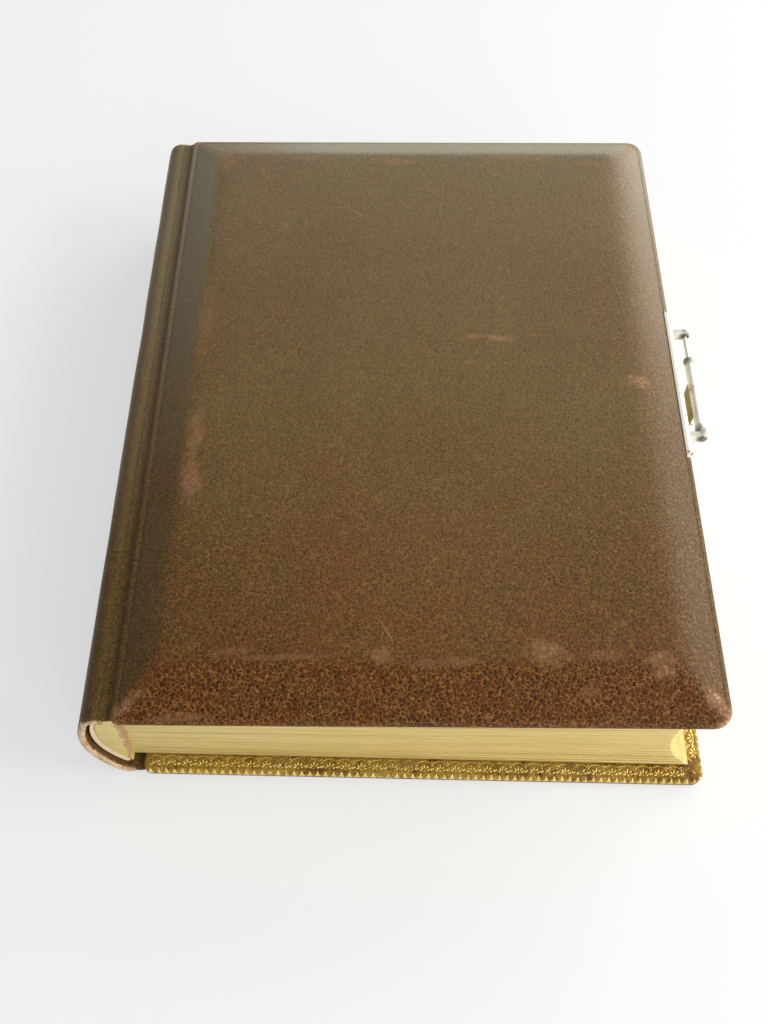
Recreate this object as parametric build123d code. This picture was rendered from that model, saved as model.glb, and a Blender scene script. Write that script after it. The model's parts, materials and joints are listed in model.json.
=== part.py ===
from build123d import *
import os
from math import atan, cos, degrees, hypot, radians, sin, tan

# Leather-bound photograph album, closed on its back cover with the clasp undone.
# X runs from spine to fore-edge, Y from tail to head, Z up from the underside, in millimetres.

# Both covers
cover_length = 304.0        # tail to head
cover_width = 221.0         # spine edge to fore-edge
spine_corner = 3.0          # plan radius of the corners beside the spine
joint_gap = 3.0             # leather joint beside each board, its hinge line in the middle

# Back cover, a flat board
back_thickness = 5.5
back_shift = 5.4            # back joint further from the spine than the front joint
back_corner = 4.5           # plan radius of the fore-edge corners
back_round = 1.5            # rounding of the covered edges

# Front cover, a built-up board with a raised panel
front_rim = 5.2             # thickness round the edge
front_corner = 7.0          # plan radius of the fore-edge corners
front_round = 2.3           # rounding of the covered edges
panel_rise = 7.5            # panel above the rim
panel_corner = 1.5          # plan radius of the panel's corners
bevel_tail = 20.5           # edge of the board to the panel, side by side
bevel_head = 17.0
bevel_fore = 17.0
bevel_spine = 15.5

# Lining papers
lining_thickness = 0.4
lining_margin = 13.0        # leather left bare round the lining
lining_joint_margin = 6.0   # the same beside the spine

# Leaves
block_thickness = 44.0      # at the spine
swell_angle = 2.5           # degrees by which the leaves stand open towards the fore-edge
end_square = 6.5            # covers beyond the leaves at tail and head
fore_square = 5.5           # covers beyond the leaves at the fore-edge
fore_hollow = 10.5          # depth of the concave fore-edge
guard_width = 9.7           # sewn back of the block, before the leaf lines start
guard_recess = 0.5          # sewn back short of the liner at tail and head
leaf_count = 24
leaf_slot = 0.35            # gap between two leaf edges
leaf_slot_depth = 0.6
cover_clearance = 0.1       # leaves to the lining of the front cover

# Spine
spine_radius = 46.0         # long round of its back
spine_reach = 12.6          # back of the spine beyond the front hinge line
spine_middle = 33.0         # height of that furthest place
spine_leather = 2.8
spine_hollow = 1.3          # air between the leather and the liner
spine_drop = 2.4            # top of the spine below the top of the front rim
spine_lift = 3.2            # lower side of the spine above the underside
shoulder_round = 6.0        # outer rounding where the back turns into each joint
flap_thickness = 1.2        # leather of the joints
flap_clearance = 0.4
liner_thickness = 1.3
liner_recess = 3.0          # liner short of the leather at tail and head
liner_margin = 1.5          # liner short of both faces of the leaves
liner_clearance = 0.1

# Clasp on the front cover's fore-edge
clasp_shift = 2.0           # middle of the clasp from mid length towards the head
plate_length = 78.0
plate_height = 5.6
plate_sunk = 2.0            # depth of the plate's notch in the cover
plate_proud = 1.5           # plate outside the cover
plate_round = 2.6           # rounding of the plate's outer edges
plate_taper = 3.5           # length of each slanted end
plate_clearance = 0.3       # notch beyond a plate at each end
lug_pitch = 55.0            # middle to middle
lug_width = 2.2
lug_radius = 2.2
pin_diameter = 1.8
pin_fit = 0.1               # diametral clearance of the pin in the lugs
pin_stand = 0.5             # pin beyond each lug

# Rivets of both plates
rivet_inset = 4.0           # rivet to the end of its plate
rivet_shank = 1.6
rivet_head = 3.0
rivet_head_height = 0.6
rivet_seat = 0.4            # depth of the flat that each head sits on
rivet_depth = 6.0           # shank inside the board
rivet_fit = 0.1             # diametral clearance of the shanks

# Hasp
barrel_length = 36.0        # middle to middle of the ball ends
barrel_diameter = 3.7
barrel_fit = 0.2            # diametral clearance on the pin
ball_diameter = 4.6
ball_clearance = 2.2        # balls to the clasp plate
lug_clearance = 0.3         # lower ball to the lug beside it
strap_thickness = 1.2
strap_width = 19.0          # at the barrel
strap_tip_radius = 5.0

# Catch on the back cover
catch_length = 26.0
catch_height = 4.4
catch_sunk = 1.0
catch_proud = 0.6
stud_diameter = 3.4
stud_length = 4.0           # stud outside the catch plate
stud_chamfer = 0.8
stud_fit = 0.8              # diametral clearance of the strap's hole on the stud

# No rounding takes more than this share of the thickness it is cut from
round_limit = 0.45

# Heights of the two hinge lines, of the leaves and of the spine
back_hinge_z = spine_lift + flap_thickness / 2
block_bottom_z = back_thickness + lining_thickness
front_hinge_z = block_bottom_z + block_thickness + cover_clearance + lining_thickness + front_rim
spine_top_z = front_hinge_z - spine_drop

# Distances across a cover, measured from its hinge line
board_start = joint_gap / 2
board_end = board_start + cover_width
plate_back = board_end - plate_sunk
plate_face = board_end + plate_proud
catch_back = board_end - catch_sunk
catch_face = board_end + catch_proud
stud_end = catch_face + stud_length
ball_radius = ball_diameter / 2
pin_reach = plate_face + ball_clearance + ball_radius
pin_drop = front_rim / 2

# Pin as it lies with the front cover raised by the swell
swell = radians(swell_angle)
pin_rest_reach = pin_reach * cos(swell) + pin_drop * sin(swell)
pin_rest_z = front_hinge_z + pin_reach * sin(swell) - pin_drop * cos(swell)


def round_between(low, high, rise):
    # Circle through two points that bulges by rise towards the spine: its radius and centre
    across = low[0] - high[0]
    up = high[1] - low[1]
    half_chord = hypot(across, up) / 2
    radius = (half_chord ** 2 + rise ** 2) / (2 * rise)
    inward = (radius - rise) / (2 * half_chord)
    return radius, ((low[0] + high[0]) / 2 + inward * up, (low[1] + high[1]) / 2 + inward * across)


# Round of the spine and, inside it, of the liner and of the leaves
spine_centre = (spine_radius - spine_reach, spine_middle)
liner_radius = spine_radius - spine_leather - spine_hollow
back_radius = liner_radius - liner_thickness - liner_clearance

# The origin is the middle of the outline; each cover is drawn from its own hinge line
fore_reach = max(pin_rest_reach + ball_radius, back_shift + stud_end)
hinge_x = (spine_reach - fore_reach) / 2
middle = Location((hinge_x, 0, 0))
back = Location((hinge_x + back_shift, 0, 0))
front = Location((hinge_x, 0, front_hinge_z), (0, -swell_angle, 0))


def lengthwise(profile, length):
    # Carries a profile in X and Z along Y, half of the length to each side
    return extrude(Plane.XZ * profile, length / 2, both=True)


def board_outline(fore_radius, inset):
    # Plan of a board from its spine edge to its fore-edge, drawn in by inset
    plan = Rectangle(cover_width - 2 * inset, cover_length - 2 * inset)
    plan = Pos(board_start + cover_width / 2, 0) * plan
    plan = fillet(plan.vertices().sort_by(Axis.X)[:2], max(spine_corner - inset, panel_corner))
    return fillet(plan.vertices().sort_by(Axis.X)[-2:], max(fore_radius - inset, panel_corner))


def rounded_board(fore_radius, thickness, rounding):
    # Covered board with soft edges, its top at zero
    board = extrude(board_outline(fore_radius, 0), -thickness)
    rims = board.faces().filter_by(Axis.Z).edges()
    return fillet(rims, min(rounding, round_limit * thickness))


def lining():
    # Paper pasted inside a cover, clear of the leather turned in round it
    width = cover_width - lining_margin - lining_joint_margin
    sheet = Rectangle(width, cover_length - 2 * lining_margin)
    return extrude(Pos(board_start + lining_joint_margin + width / 2, 0) * sheet, lining_thickness)


def crosswise_pair(piece, length):
    # Two copies of a piece, each at a rivet's place in a plate of that length
    reach = length / 2 - rivet_inset
    return [Pos(0, side * reach, 0) * piece for side in (-1, 1)]


def crosswise_bar(diameter, start, end):
    # Round bar along X
    return Pos((start + end) / 2, 0, 0) * Rot(0, 90, 0) * Cylinder(diameter / 2, end - start)


def rivet(face, board_face):
    # Rivet turned about X: its cone head sits on face, its shank ends behind board_face
    foot = board_face - rivet_depth
    crown = face + rivet_head_height
    shank_edge = rivet_shank / 2
    outline = Polygon(
        (foot, 0),
        (crown, 0),
        (crown, shank_edge),
        (face, rivet_head / 2),
        (face, shank_edge),
        (foot, shank_edge),
        align=None)
    return revolve(outline, Axis.X)


def rivet_hole(face, board_face):
    # Room for a rivet, with a flat for its head that is open outwards
    shank = crosswise_bar(rivet_shank + rivet_fit, board_face - rivet_depth, face)
    return shank + crosswise_bar(rivet_head + rivet_fit, face, face + rivet_head)


def tapered_plan(inner, outer, length, taper):
    # Plan of a plate whose ends slant in from its inner to its outer side
    half = length / 2
    return Polygon(
        (inner, -half), (outer, taper - half), (outer, half - taper), (inner, half), align=None)


def edge_notch(inner, length, height):
    # Room for a plate, from its inner side out past the edge of the board
    depth = 2 * (board_end - inner)
    return Pos(inner + depth / 2, 0, 0) * Box(depth, length + 2 * plate_clearance, height)


# Front cover: rounded rim, then the bevel up to the panel
panel_width = cover_width - bevel_spine - bevel_fore
panel_length = cover_length - bevel_tail - bevel_head
panel = RectangleRounded(panel_width, panel_length, panel_corner)
panel_x = board_start + bevel_spine + panel_width / 2
panel = Pos(panel_x, (bevel_tail - bevel_head) / 2, panel_rise) * panel
clasp_at = Pos(0, clasp_shift, -pin_drop)
clasp_rivet_face = plate_face - rivet_seat
front_cover = rounded_board(front_corner, front_rim, front_round)
front_cover += loft([board_outline(front_corner, front_round), panel], ruled=True)
front_cover -= clasp_at * edge_notch(plate_back, plate_length, 2 * front_rim)
for hole in crosswise_pair(rivet_hole(clasp_rivet_face, plate_back), plate_length):
    front_cover -= clasp_at * hole

# Clasp plate: a rounded bar in the notch, with a lug for each end of the pin
bar = Pos((plate_back + plate_face) / 2, 0) * Rectangle(plate_face - plate_back, plate_height)
bar = fillet(bar.vertices().sort_by(Axis.X)[-2:], min(plate_round, round_limit * plate_height))
clasp_plan = tapered_plan(plate_back, plate_face, plate_length, plate_taper)
clasp_plate = lengthwise(bar, plate_length) & extrude(clasp_plan, plate_height, both=True)
lug = Pos((plate_back + pin_reach) / 2, 0) * Rectangle(pin_reach - plate_back, 2 * lug_radius)
lug += Pos(pin_reach, 0) * Circle(lug_radius)
for side in (-1, 1):
    clasp_plate += Pos(0, side * lug_pitch / 2, 0) * lengthwise(lug, lug_width)
pin_length = lug_pitch + lug_width + 2 * pin_stand
pin_at = Pos(pin_reach, 0, 0) * Rot(90, 0, 0)
clasp_plate -= pin_at * Cylinder((pin_diameter + pin_fit) / 2, pin_length)
for hole in crosswise_pair(rivet_hole(clasp_rivet_face, plate_back), plate_length):
    clasp_plate -= hole
clasp_rivets = crosswise_pair(rivet(clasp_rivet_face, plate_back), plate_length)
clasp_pin = pin_at * Cylinder(pin_diameter / 2, pin_length)

# Hasp: drawn from the pin axis, hanging straight down, slid to the lug nearest the tail
hasp_y = clasp_shift + (lug_width - lug_pitch) / 2 + lug_clearance + ball_radius + barrel_length / 2
strap_reach = front_hinge_z - pin_drop - back_thickness / 2
strap = Polygon(
    (-strap_width / 2, 0),
    (strap_width / 2, 0),
    (strap_tip_radius, -strap_reach),
    (-strap_tip_radius, -strap_reach),
    align=None)
strap += Pos(0, -strap_reach) * Circle(strap_tip_radius)
strap -= Pos(0, -strap_reach) * Circle((stud_diameter + stud_fit) / 2)
hasp = extrude(Plane.YZ * strap, strap_thickness / 2, both=True)
hasp += Rot(90, 0, 0) * Cylinder(barrel_diameter / 2, barrel_length)
for side in (-1, 1):
    hasp += Pos(0, side * barrel_length / 2, 0) * Sphere(ball_radius)
hasp -= Rot(90, 0, 0) * Cylinder((pin_diameter + barrel_fit) / 2, barrel_length + 2 * ball_diameter)

# Back cover and its catch, opposite the hole in the strap
catch_at = Pos(0, hasp_y, back_thickness / 2)
catch_rivet_face = catch_face - rivet_seat
back_cover = Pos(0, 0, back_thickness) * rounded_board(back_corner, back_thickness, back_round)
back_cover -= catch_at * edge_notch(catch_back, catch_length, 2 * back_thickness)
for hole in crosswise_pair(rivet_hole(catch_rivet_face, catch_back), catch_length):
    back_cover -= catch_at * hole
catch_plan = tapered_plan(catch_back, catch_face, catch_length, catch_sunk + catch_proud)
catch_plate = extrude(catch_plan, catch_height / 2, both=True)
stud = crosswise_bar(stud_diameter, catch_back, stud_end)
stud_rim = stud.edges().filter_by(GeomType.CIRCLE).sort_by(Axis.X)[-1]
catch_plate += chamfer(stud_rim, stud_chamfer)
for hole in crosswise_pair(rivet_hole(catch_rivet_face, catch_back), catch_length):
    catch_plate -= hole
catch_rivets = crosswise_pair(rivet(catch_rivet_face, catch_back), catch_length)


def lid_z(x):
    # Underside of the front cover's lining, less its clearance
    drop = (front_rim + lining_thickness + cover_clearance) / cos(swell)
    return front_hinge_z - drop + x * tan(swell)


# Leaves: a wedge with a rounded back and a hollow fore-edge
block_length = cover_length - 2 * end_square
leaf_back = spine_centre[0] - back_radius
fore_x = board_end - fore_square
fore_low = (fore_x + back_shift, block_bottom_z)
fore_high = (fore_x, lid_z(fore_x))
fore_radius, fore_centre = round_between(fore_low, fore_high, fore_hollow)
wedge = Polygon(
    (leaf_back, block_bottom_z), fore_low, fore_high, (leaf_back, lid_z(leaf_back)), align=None)
straight_width = fore_low[0] - spine_centre[0]
rounded_back = Circle(back_radius) + Pos(straight_width / 2, 0) * Rectangle(
    straight_width, 2 * spine_radius)
block_profile = wedge & Pos(*spine_centre) * rounded_back
block_profile -= Pos(*fore_centre) * Circle(fore_radius)
page_block = lengthwise(block_profile, block_length)

# The sewn back stands out at tail and head, almost as far as the liner
slot_start = leaf_back + guard_width
guard_side = Pos(slot_start - spine_radius, spine_middle) * Rectangle(2 * spine_radius, 4 * spine_radius)
guard_length = cover_length - 2 * (liner_recess + guard_recess)
page_block += lengthwise(block_profile & guard_side, guard_length)

# Slots between the leaf edges fan from the back cover to the front cover and end at a core
core = wedge - Pos(*fore_centre) * Circle(fore_radius + leaf_slot_depth)
core = lengthwise(core, block_length - 2 * leaf_slot_depth)
slot_width = fore_low[0] - slot_start
for leaf in range(1, leaf_count):
    share = leaf / leaf_count
    start_z = block_bottom_z + share * (lid_z(slot_start) - block_bottom_z)
    slope = degrees(atan(share * tan(swell)))
    slot = Pos(slot_width / 2, 0, 0) * Box(slot_width, cover_length, leaf_slot)
    page_block -= Pos(slot_start, 0, start_z) * Rot(0, -slope, 0) * slot - core


def level_band(low, high):
    # Strip between two heights, as wide as the round of the spine, drawn from its centre
    return Pos(0, (low + high) / 2 - spine_middle) * Rectangle(2 * spine_radius, high - low)


def spine_section(inset, flat_inset):
    # Long round closed by two flats with soft shoulders, each drawn in by its own inset
    section = Circle(spine_radius - inset)
    section &= level_band(spine_lift + flat_inset, spine_top_z - flat_inset)
    return fillet(section.vertices().sort_by(Axis.X)[:2], shoulder_round - flat_inset)


# Spine: a shell whose flats run on as flaps, up to each board
flap_end = board_start - flap_clearance
spine_side = -2 * spine_radius
flap_reach = Polygon(
    (spine_side, 0),
    (back_shift + flap_end, 0),
    (back_shift + flap_end, spine_middle),
    (flap_end, spine_middle),
    (flap_end, front_hinge_z),
    (spine_side, front_hinge_z),
    align=None)
leather = spine_section(0, 0) - spine_section(spine_leather, flap_thickness)
spine = lengthwise(Pos(*spine_centre) * leather & flap_reach, cover_length)

# Liner round the back of the leaves
liner = Circle(liner_radius) - Circle(liner_radius - liner_thickness)
liner &= Pos(-spine_radius, 0) * level_band(
    block_bottom_z + liner_margin, lid_z(leaf_back) - liner_margin)
spine_liner = lengthwise(Pos(*spine_centre) * liner, cover_length - 2 * liner_recess)

nodes = {
    "front_cover": front * front_cover,
    "front_pastedown": front * Pos(0, 0, -front_rim - lining_thickness) * lining(),
    "clasp_plate": front * clasp_at * clasp_plate,
    "clasp_rivets": Compound([front * clasp_at * piece for piece in clasp_rivets]),
    "clasp_pin": front * clasp_at * clasp_pin,
    "hasp": middle * Pos(pin_rest_reach, hasp_y, pin_rest_z) * hasp,
    "page_block": middle * page_block,
    "spine": middle * spine,
    "spine_liner": middle * spine_liner,
    "back_cover": back * back_cover,
    "back_pastedown": back * Pos(0, 0, back_thickness) * lining(),
    "catch_plate": back * catch_at * catch_plate,
    "catch_rivets": Compound([back * catch_at * piece for piece in catch_rivets]),
}

os.makedirs("parts", exist_ok=True)
for name, solid in nodes.items():
    export_step(solid, os.path.join("parts", name + ".step"))
print("front hinge", hinge_x, front_hinge_z)
print("back hinge", hinge_x + back_shift, back_hinge_z)
print("hasp hinge", hinge_x + pin_rest_reach, hasp_y, pin_rest_z)
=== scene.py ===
import json
import math
import bmesh
import bpy
import numpy as np
from mathutils import Matrix, Vector


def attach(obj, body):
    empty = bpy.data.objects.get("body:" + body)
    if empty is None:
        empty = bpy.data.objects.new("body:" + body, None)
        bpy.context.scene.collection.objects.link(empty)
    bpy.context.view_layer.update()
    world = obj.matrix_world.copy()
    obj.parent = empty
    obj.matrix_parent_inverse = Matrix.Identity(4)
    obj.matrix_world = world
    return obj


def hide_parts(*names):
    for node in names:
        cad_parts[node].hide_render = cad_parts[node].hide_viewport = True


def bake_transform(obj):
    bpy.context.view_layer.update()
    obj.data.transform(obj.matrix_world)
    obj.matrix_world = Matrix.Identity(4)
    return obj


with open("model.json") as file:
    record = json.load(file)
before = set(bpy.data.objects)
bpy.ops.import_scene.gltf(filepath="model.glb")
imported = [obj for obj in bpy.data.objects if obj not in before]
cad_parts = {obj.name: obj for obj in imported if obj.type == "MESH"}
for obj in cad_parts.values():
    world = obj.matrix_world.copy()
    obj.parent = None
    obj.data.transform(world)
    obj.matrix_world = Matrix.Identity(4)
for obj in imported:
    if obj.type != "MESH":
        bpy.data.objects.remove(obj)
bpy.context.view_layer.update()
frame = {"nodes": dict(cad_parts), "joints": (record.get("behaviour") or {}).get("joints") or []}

nodes = frame["nodes"]
joints = {joint["name"]: joint["pos_m"] for joint in frame["joints"]}
hingeX, hingeZ = joints["front_hinge"][::2]
backX, backZ = joints["back_hinge"][::2]
swell = math.radians(2.5)  # the front cover stands open by this towards the fore-edge
lean = math.tan(swell)
mm = 0.001
scene = bpy.context.scene
print("frame loaded,", len(nodes), "nodes")


# one socket of a material; arithmetic on it adds Math nodes
class Wire:
    def __init__(self, tree, socket):
        self.tree = tree
        self.socket = socket

    def node(self, kind, settings, sockets, out=0):
        made = self.tree.nodes.new("ShaderNode" + kind)
        for key, value in settings.items():
            setattr(made, key, value)
        for key, value in sockets.items():
            if isinstance(value, Wire):
                self.tree.links.new(value.socket, made.inputs[key])
            else:
                made.inputs[key].default_value = value
        return Wire(self.tree, made.outputs[out])

    def math(self, operation, first, second=0.0):
        return self.node("Math", {"operation": operation}, {0: first, 1: second})

    def __add__(self, other):
        return self.math("ADD", self, other)

    __radd__ = __add__

    def __sub__(self, other):
        return self.math("SUBTRACT", self, other)

    def __rsub__(self, other):
        return self.math("SUBTRACT", other, self)

    def __mul__(self, other):
        return self.math("MULTIPLY", self, other)

    __rmul__ = __mul__

    # either of two masks, whichever is stronger
    def __or__(self, other):
        return self.math("MAXIMUM", self, other)

    # soft step from 0 at low to 1 at high; high below low turns it round
    def step(self, low, high):
        return self.node("MapRange", {"interpolation_type": "SMOOTHSTEP"},
                         {0: self, 1: low, 2: high, 3: 0.0, 4: 1.0})

    # colour that goes from first to second as this mask goes from 0 to 1
    def mix(self, first, second):
        colours = {6: first, 7: second}
        full = {key: value if isinstance(value, Wire) else (*value, 1.0) for key, value in colours.items()}
        return self.node("Mix", {"data_type": "RGBA"}, {0: self, **full}, 2)

    # patterns painted by this place
    def noise(self, scale, detail=2.0, rough=0.5, bend=0.0):
        return self.node("TexNoise", {}, {"Vector": self, "Scale": scale, "Detail": detail,
                                          "Roughness": rough, "Distortion": bend})

    def cells(self, scale, feature, out=0):
        return self.node("TexVoronoi", {"feature": feature}, {"Vector": self, "Scale": scale}, out)

    def stretch(self, by):
        return self.node("VectorMath", {"operation": "MULTIPLY"}, {0: self, 1: by})

    def part(self, axis):
        return self.node("SeparateXYZ", {}, {0: self}, axis)

    def attribute(self, name):
        return self.node("Attribute", {"attribute_name": name}, {}, "Fac")

    # normals bent by this height
    def bump(self, strength, distance):
        return self.node("Bump", {}, {"Height": self, "Strength": strength, "Distance": distance})


# a new material: its shader node, and the object coordinates to paint it by
def newFinish(name):
    finish = bpy.data.materials.new(name)
    finish.use_nodes = True
    shader = finish.node_tree.nodes["Principled BSDF"]
    start = Wire(finish.node_tree, None)
    return finish, shader, start.node("TexCoord", {}, {}, "Object")


# links what varies to the shader, sets what doesn't
def dress(shader, **sockets):
    tree = shader.id_data
    for name, value in sockets.items():
        target = shader.inputs[name.replace("_", " ")]
        if isinstance(value, Wire):
            tree.links.new(value.socket, target)
        else:
            target.default_value = value


# quads between neighbouring points of stacked rings
def ringFaces(rows, cols):
    index = np.arange(rows * cols).reshape(rows, cols)
    index = np.hstack([index, index[:, :1]])
    corners = [index[:-1, :-1], index[:-1, 1:], index[1:, 1:], index[1:, :-1]]
    return np.stack(corners, -1).reshape(-1, 4)


# mesh object from points and faces, doubles merged, faces of a closed one outwards, sharp past 50 degrees
def newPiece(name, points, faces, finish, marks=None, closed=True):
    mesh = bpy.data.meshes.new(name)
    mesh.from_pydata(points.reshape(-1, 3).tolist(), [], faces.tolist())
    for mark, values in (marks or {}).items():
        layer = mesh.attributes.new(mark, "FLOAT", "POINT")
        spread = np.broadcast_to(values, points.shape[:-1])
        layer.data.foreach_set("value", spread.astype(np.float32).ravel())
    work = bmesh.new()
    work.from_mesh(mesh)
    bmesh.ops.remove_doubles(work, verts=work.verts, dist=2e-6)
    if closed:
        bmesh.ops.recalc_face_normals(work, faces=work.faces)
    work.to_mesh(mesh)
    work.free()
    mesh.polygons.foreach_set("use_smooth", np.ones(len(mesh.polygons), bool))
    mesh.set_sharp_from_angle(angle=math.radians(50))
    mesh.materials.append(finish)
    piece = bpy.data.objects.new(name, mesh)
    scene.collection.objects.link(piece)
    print(name, len(mesh.polygons), "faces")
    return piece


# rings of a rounded rectangle, one for each row of corners: a quarter circle at every corner,
# then evenly spaced points along the side that follows it, from the spine's tail corner round
def roundedRings(low, high, spineRadius, foreRadius, sides, arcs):
    turn = np.linspace(0, math.pi / 2, arcs)
    corners = []
    quarters = ((low[:, :1], low[:, 1:], spineRadius, 180), (high[:, :1], low[:, 1:], foreRadius, 270),
                (high[:, :1], high[:, 1:], foreRadius, 0), (low[:, :1], high[:, 1:], spineRadius, 90))
    for x, y, radius, start in quarters:
        angle = math.radians(start) + turn
        middle = math.radians(start + 45)
        across = np.cos(angle) - np.sign(math.cos(middle))
        along = np.sin(angle) - np.sign(math.sin(middle))
        reach = radius[:, None]
        corners.append(np.stack([x + reach * across, y + reach * along], -1))
    walk = []
    for k, count in enumerate(sides):
        share = np.linspace(0, 1, count + 2)[1:-1, None]
        begin, end = corners[k][:, -1:], corners[(k + 1) % 4][:, :1]
        walk += [corners[k], begin + (end - begin) * share]
    return np.concatenate(walk, 1)


# points drawn from the front hinge line, turned up by the swell
def onFrontCover(points):
    x, y, z = np.moveaxis(points, -1, 0)
    return np.stack([hingeX + x * math.cos(swell) - z * math.sin(swell), y,
                     hingeZ + x * math.sin(swell) + z * math.cos(swell)], -1)


# points in metres, from millimetres past the front hinge line, along it and above the table
def fromHinge(x, y, z):
    return np.stack(np.broadcast_arrays(hingeX + x * mm, y * mm, z * mm), -1)


# share that goes straight from 0 at start to 1 at end and stays there
def ramp(values, start, end):
    return np.clip((values - start) / (end - start), 0, 1)


# bell curve: 1 at no offset, e to the minus square of offset over width
def bell(offset, width):
    return np.exp(-(offset / width) ** 2)


# gentle unevenness of leather: a sum of long waves with fixed directions
def unevenness(x, y, seed, length):
    random = np.random.default_rng(seed)
    heading = random.uniform(0, 2 * math.pi, 7)
    phase = random.uniform(0, 2 * math.pi, 7)
    pitch = 2 * math.pi / (length * random.uniform(0.6, 1.7, 7))
    turn = x[..., None] * np.cos(heading) * pitch + y[..., None] * np.sin(heading) * pitch + phase
    return np.sin(turn).mean(-1)


# leather

leatherLook = {
    "deep": (0.024, 0.008, 0.0015),  # dark hearts of the pebbles
    "brown": (0.128, 0.050, 0.0072),
    "red": (0.152, 0.040, 0.004),
    "seam": (0.400, 0.185, 0.048),  # between the pebbles
    "olive": (0.160, 0.107, 0.034),  # dull places: partly duller leather, partly painted sheen
    "faded": (0.375, 0.350, 0.255),  # painted sheen: pale haze standing in for light glancing off the far edges
    "rubbed": (0.41, 0.205, 0.110),  # places worn towards the raw skin
    "bare": (0.62, 0.42, 0.28),
    "grain": 640.0,  # pebbles in a metre
}

# marks on the front cover: millimetres from hinge line and mid length, half sizes, turn, strength
coverMarks = (
    (98.4, -129.0, 5.0, 3.6, 0, 0.7), (156.2, -127.4, 8.5, 4.6, -10, 0.75), (197.5, -131.8, 6.0, 4.8, 0, 0.9),
    (136.6, 19.7, 4.5, 1.6, 10, 0.8), (147.2, 18.6, 6.5, 1.9, -8, 0.9), (203.0, -3.3, 5.0, 3.6, -20, 0.95),
    (21.9, -54.4, 4.5, 11.0, 0, 0.75), (21.5, -30.2, 3.6, 14.0, 0, 0.65), (20.1, 28.3, 3.2, 22.0, 0, 0.5),
    (101.6, 128.7, 11.0, 2.8, 0, 0.7), (38.5, 121.5, 2.2, 2.2, 0, 0.7), (51.0, 85.0, 3.2, 3.6, 0, 0.4),
    (133.6, 5.4, 3.2, 1.3, 0, 0.45), (20.2, 129.5, 4.5, 8.0, 20, 0.65), (5.8, -147.1, 8.2, 2.3, 39, 1.0),
    (216.8, -143.4, 8.0, 3.0, -53, 1.15), (217.9, 147.2, 7.0, 3.4, 50, 0.95),
    (27.1, -150.0, 11.0, 1.5, 3, 0.5),
    (62.0, -130.0, 17.0, 1.1, 2, 0.5), (175.7, -128.4, 8.0, 2.2, 0, 0.4), (171.6, -140.5, 3.5, 2.5, 20, 0.35),
    (3.5, 148.6, 6.0, 3.0, -50, 0.95), (43.0, -127.8, 7.0, 1.4, 4, 0.4), (120.0, -131.5, 16.0, 2.0, 1, 0.4),
    (60.0, 131.0, 14.0, 2.2, 0, 0.5), (160.0, 131.5, 14.0, 2.2, 0, 0.5), (193.0, 128.0, 5.0, 3.0, 0, 0.35),
)
# hairline scratches: place, half length and width, turn, strength
coverScratches = (
    (99.1, -119.2, 5.5, 0.38, -62, 0.9), (115.3, 59.1, 8.0, 0.5, 18, 0.6), (84.7, 93.5, 4.5, 0.7, -35, 0.7),
    (90.3, 109.0, 6.0, 0.5, -10, 0.5), (60.0, -60.0, 14.0, 0.35, 75, 0.35),
    (152.0, -40.0, 10.0, 0.3, 40, 0.35),
    (122.0, 99.0, 9.0, 0.35, 28, 0.4), (187.5, 60.0, 7.0, 0.3, -50, 0.35), (132.0, -89.5, 8.0, 0.3, 12, 0.35),
)


# worn mark: 1 inside an ellipse turned by the angle, fading to 0 at its edge, which the fray breaks up
def markAt(x, y, mark, fray):
    placeX, placeY, halfX, halfY, turn, strength = mark
    c, s = math.cos(math.radians(turn)), math.sin(math.radians(turn))
    along = (x - placeX) * (c / halfX) + (y - placeY) * (s / halfX)
    across = (y - placeY) * (c / halfY) - (x - placeX) * (s / halfY)
    return (along * along + across * across + fray).step(1.3, 0.1) * strength


# strongest of several marks at every place
def strongest(x, y, marks, fray):
    shown = markAt(x, y, marks[0], fray)
    for mark in marks[1:]:
        shown = shown | markAt(x, y, mark, fray)
    return shown


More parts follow.
